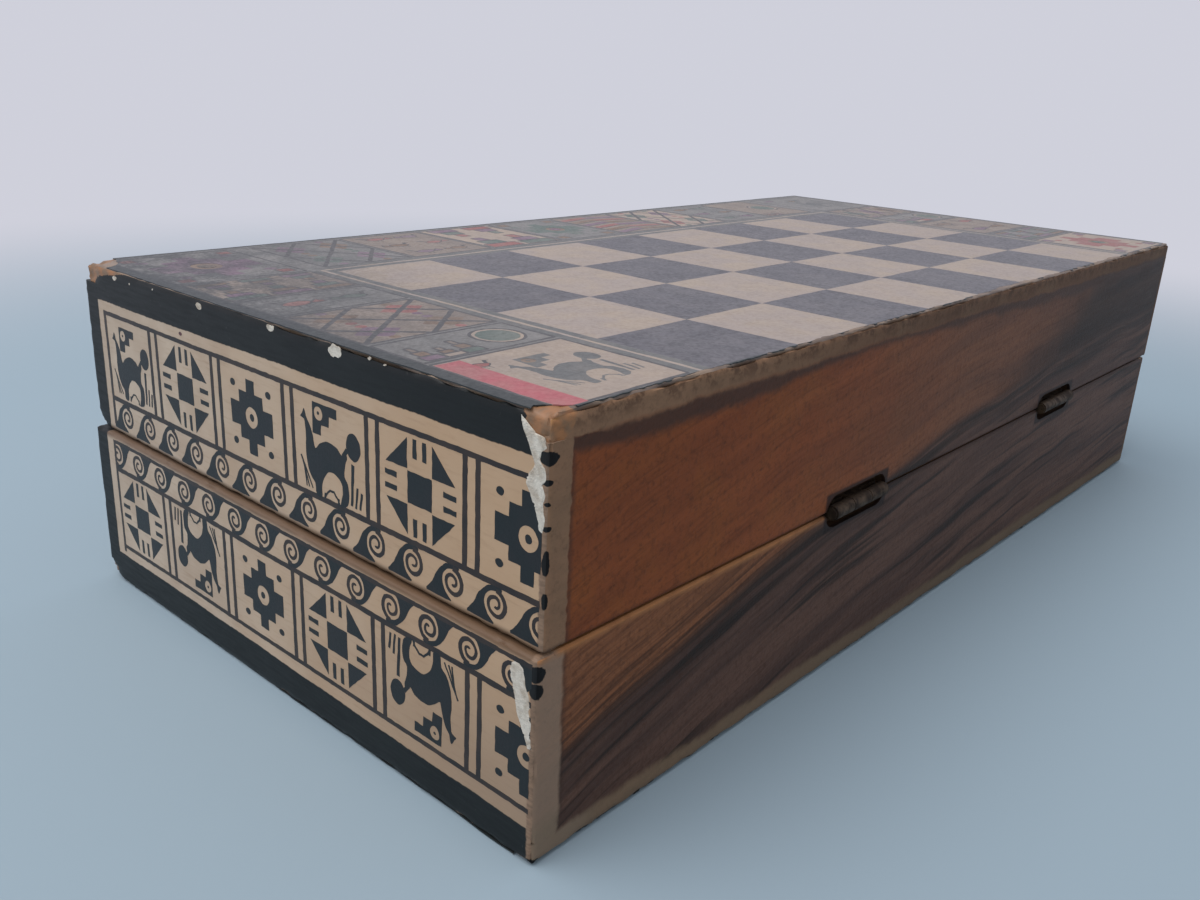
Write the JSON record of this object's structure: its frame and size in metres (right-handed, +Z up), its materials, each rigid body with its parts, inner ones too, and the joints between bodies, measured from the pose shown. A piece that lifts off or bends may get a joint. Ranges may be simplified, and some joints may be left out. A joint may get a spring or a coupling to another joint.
{
  "type": "miniature chess set",
  "caption": "Small wooden chess box: two hinged trays whose outer faces unfold into a full board, with printed ends, barrel hinges, hook catches and turned chessmen stored inside.",
  "frame": {"origin": "middle of the lower tray's outer face, on which the closed box rests", "axes": "+X along the box away from the pictured end, +Y from the hinge side to the catch side, +Z up"},
  "size_m": [0.2008, 0.1034, 0.0524],
  "materials": {
    "printed_board": "printed and varnished, worn",
    "printed_end": "black print on tan, satin varnish",
    "rail_wood": "streaked brown wood, satin",
    "inner_wood": "plain sanded wood",
    "felt": "felt lining",
    "aged_brass": "tarnished",
    "fastener_brass": "dull",
    "light_piece": "varnished",
    "dark_piece": "varnished"
  },
  "bodies": {
    "lower_tray": {"lower_board_panel": "printed_board", "lower_hinge_rail": "rail_wood", "lower_catch_rail": "rail_wood", "lower_near_end_rail": "inner_wood", "lower_far_end_rail": "inner_wood", "lower_near_end_facing": "printed_end", "lower_far_end_facing": "printed_end", "lower_lining": "felt", "near_hinge_lower_leaf": "aged_brass", "far_hinge_lower_leaf": "aged_brass", "near_hinge_pin": "aged_brass", "far_hinge_pin": "aged_brass", "lower_hinge_screws": "fastener_brass", "catch_studs": "fastener_brass"},
    "upper_tray": {"upper_board_panel": "printed_board", "upper_hinge_rail": "rail_wood", "upper_catch_rail": "rail_wood", "upper_near_end_rail": "inner_wood", "upper_far_end_rail": "inner_wood", "upper_near_end_facing": "printed_end", "upper_far_end_facing": "printed_end", "upper_lining": "felt", "near_hinge_upper_leaf": "aged_brass", "far_hinge_upper_leaf": "aged_brass", "upper_hinge_screws": "fastener_brass", "catch_pivot_screws": "fastener_brass"},
    "near_hook": {"near_catch_hook": "aged_brass"},
    "far_hook": {"far_catch_hook": "aged_brass"},
    "light_queens_rook_piece": {"light_queens_rook": "light_piece"},
    "light_queens_knight_piece": {"light_queens_knight": "light_piece"},
    "light_queens_bishop_piece": {"light_queens_bishop": "light_piece"},
    "light_queen_piece": {"light_queen": "light_piece"},
    "light_king_piece": {"light_king": "light_piece"},
    "light_kings_bishop_piece": {"light_kings_bishop": "light_piece"},
    "light_kings_knight_piece": {"light_kings_knight": "light_piece"},
    "light_kings_rook_piece": {"light_kings_rook": "light_piece"},
    "light_pawn_a_piece": {"light_pawn_a": "light_piece"},
    "light_pawn_b_piece": {"light_pawn_b": "light_piece"},
    "light_pawn_c_piece": {"light_pawn_c": "light_piece"},
    "light_pawn_d_piece": {"light_pawn_d": "light_piece"},
    "light_pawn_e_piece": {"light_pawn_e": "light_piece"},
    "light_pawn_f_piece": {"light_pawn_f": "light_piece"},
    "light_pawn_g_piece": {"light_pawn_g": "light_piece"},
    "light_pawn_h_piece": {"light_pawn_h": "light_piece"},
    "dark_queens_rook_piece": {"dark_queens_rook": "dark_piece"},
    "dark_queens_knight_piece": {"dark_queens_knight": "dark_piece"},
    "dark_queens_bishop_piece": {"dark_queens_bishop": "dark_piece"},
    "dark_queen_piece": {"dark_queen": "dark_piece"},
    "dark_king_piece": {"dark_king": "dark_piece"},
    "dark_kings_bishop_piece": {"dark_kings_bishop": "dark_piece"},
    "dark_kings_knight_piece": {"dark_kings_knight": "dark_piece"},
    "dark_kings_rook_piece": {"dark_kings_rook": "dark_piece"},
    "dark_pawn_a_piece": {"dark_pawn_a": "dark_piece"},
    "dark_pawn_b_piece": {"dark_pawn_b": "dark_piece"},
    "dark_pawn_c_piece": {"dark_pawn_c": "dark_piece"},
    "dark_pawn_d_piece": {"dark_pawn_d": "dark_piece"},
    "dark_pawn_e_piece": {"dark_pawn_e": "dark_piece"},
    "dark_pawn_f_piece": {"dark_pawn_f": "dark_piece"},
    "dark_pawn_g_piece": {"dark_pawn_g": "dark_piece"},
    "dark_pawn_h_piece": {"dark_pawn_h": "dark_piece"}
  },
  "joints": [
    {"name": "case_lid_hinge", "type": "hinge", "parent": "lower_tray", "child": "upper_tray", "pos_m": [0, -0.05015, 0.0262], "axis": [1, 0, 0], "range_deg": [0, 180]},
    {"name": "catch_far_swing", "type": "hinge", "parent": "upper_tray", "child": "far_hook", "pos_m": [0.054, 0.0508, 0.0332], "axis": [0, 1, 0], "range_deg": [-300, 40]},
    {"name": "catch_near_swing", "type": "hinge", "parent": "upper_tray", "child": "near_hook", "pos_m": [-0.054, 0.0508, 0.0332], "axis": [0, 1, 0], "range_deg": [-300, 40]},
    {"name": "lift_light_queens_rook", "type": "slide", "parent": "lower_tray", "child": "light_queens_rook_piece", "axis": [0, 0, 1], "range_m": [0, 0.024]},
    {"name": "lift_light_queens_knight", "type": "slide", "parent": "lower_tray", "child": "light_queens_knight_piece", "axis": [0, 0, 1], "range_m": [0, 0.024]},
    {"name": "lift_light_queens_bishop", "type": "slide", "parent": "lower_tray", "child": "light_queens_bishop_piece", "axis": [0, 0, 1], "range_m": [0, 0.024]},
    {"name": "lift_light_queen", "type": "slide", "parent": "lower_tray", "child": "light_queen_piece", "axis": [0, 0, 1], "range_m": [0, 0.024]},
    {"name": "lift_light_king", "type": "slide", "parent": "lower_tray", "child": "light_king_piece", "axis": [0, 0, 1], "range_m": [0, 0.024]},
    {"name": "lift_light_kings_bishop", "type": "slide", "parent": "lower_tray", "child": "light_kings_bishop_piece", "axis": [0, 0, 1], "range_m": [0, 0.024]},
    {"name": "lift_light_kings_knight", "type": "slide", "parent": "lower_tray", "child": "light_kings_knight_piece", "axis": [0, 0, 1], "range_m": [0, 0.024]},
    {"name": "lift_light_kings_rook", "type": "slide", "parent": "lower_tray", "child": "light_kings_rook_piece", "axis": [0, 0, 1], "range_m": [0, 0.024]},
    {"name": "lift_light_pawn_a", "type": "slide", "parent": "lower_tray", "child": "light_pawn_a_piece", "axis": [0, 0, 1], "range_m": [0, 0.024]},
    {"name": "lift_light_pawn_b", "type": "slide", "parent": "lower_tray", "child": "light_pawn_b_piece", "axis": [0, 0, 1], "range_m": [0, 0.024]},
    {"name": "lift_light_pawn_c", "type": "slide", "parent": "lower_tray", "child": "light_pawn_c_piece", "axis": [0, 0, 1], "range_m": [0, 0.024]},
    {"name": "lift_light_pawn_d", "type": "slide", "parent": "lower_tray", "child": "light_pawn_d_piece", "axis": [0, 0, 1], "range_m": [0, 0.024]},
    {"name": "lift_light_pawn_e", "type": "slide", "parent": "lower_tray", "child": "light_pawn_e_piece", "axis": [0, 0, 1], "range_m": [0, 0.024]},
    {"name": "lift_light_pawn_f", "type": "slide", "parent": "lower_tray", "child": "light_pawn_f_piece", "axis": [0, 0, 1], "range_m": [0, 0.024]},
    {"name": "lift_light_pawn_g", "type": "slide", "parent": "lower_tray", "child": "light_pawn_g_piece", "axis": [0, 0, 1], "range_m": [0, 0.024]},
    {"name": "lift_light_pawn_h", "type": "slide", "parent": "lower_tray", "child": "light_pawn_h_piece", "axis": [0, 0, 1], "range_m": [0, 0.024]},
    {"name": "lift_dark_queens_rook", "type": "slide", "parent": "lower_tray", "child": "dark_queens_rook_piece", "axis": [0, 0, 1], "range_m": [0, 0.024]},
    {"name": "lift_dark_queens_knight", "type": "slide", "parent": "lower_tray", "child": "dark_queens_knight_piece", "axis": [0, 0, 1], "range_m": [0, 0.024]},
    {"name": "lift_dark_queens_bishop", "type": "slide", "parent": "lower_tray", "child": "dark_queens_bishop_piece", "axis": [0, 0, 1], "range_m": [0, 0.024]},
    {"name": "lift_dark_queen", "type": "slide", "parent": "lower_tray", "child": "dark_queen_piece", "axis": [0, 0, 1], "range_m": [0, 0.024]},
    {"name": "lift_dark_king", "type": "slide", "parent": "lower_tray", "child": "dark_king_piece", "axis": [0, 0, 1], "range_m": [0, 0.024]},
    {"name": "lift_dark_kings_bishop", "type": "slide", "parent": "lower_tray", "child": "dark_kings_bishop_piece", "axis": [0, 0, 1], "range_m": [0, 0.024]},
    {"name": "lift_dark_kings_knight", "type": "slide", "parent": "lower_tray", "child": "dark_kings_knight_piece", "axis": [0, 0, 1], "range_m": [0, 0.024]},
    {"name": "lift_dark_kings_rook", "type": "slide", "parent": "lower_tray", "child": "dark_kings_rook_piece", "axis": [0, 0, 1], "range_m": [0, 0.024]},
    {"name": "lift_dark_pawn_a", "type": "slide", "parent": "lower_tray", "child": "dark_pawn_a_piece", "axis": [0, 0, 1], "range_m": [0, 0.024]},
    {"name": "lift_dark_pawn_b", "type": "slide", "parent": "lower_tray", "child": "dark_pawn_b_piece", "axis": [0, 0, 1], "range_m": [0, 0.024]},
    {"name": "lift_dark_pawn_c", "type": "slide", "parent": "lower_tray", "child": "dark_pawn_c_piece", "axis": [0, 0, 1], "range_m": [0, 0.024]},
    {"name": "lift_dark_pawn_d", "type": "slide", "parent": "lower_tray", "child": "dark_pawn_d_piece", "axis": [0, 0, 1], "range_m": [0, 0.024]},
    {"name": "lift_dark_pawn_e", "type": "slide", "parent": "lower_tray", "child": "dark_pawn_e_piece", "axis": [0, 0, 1], "range_m": [0, 0.024]},
    {"name": "lift_dark_pawn_f", "type": "slide", "parent": "lower_tray", "child": "dark_pawn_f_piece", "axis": [0, 0, 1], "range_m": [0, 0.024]},
    {"name": "lift_dark_pawn_g", "type": "slide", "parent": "lower_tray", "child": "dark_pawn_g_piece", "axis": [0, 0, 1], "range_m": [0, 0.024]},
    {"name": "lift_dark_pawn_h", "type": "slide", "parent": "lower_tray", "child": "dark_pawn_h_piece", "axis": [0, 0, 1], "range_m": [0, 0.024]}
  ]
}
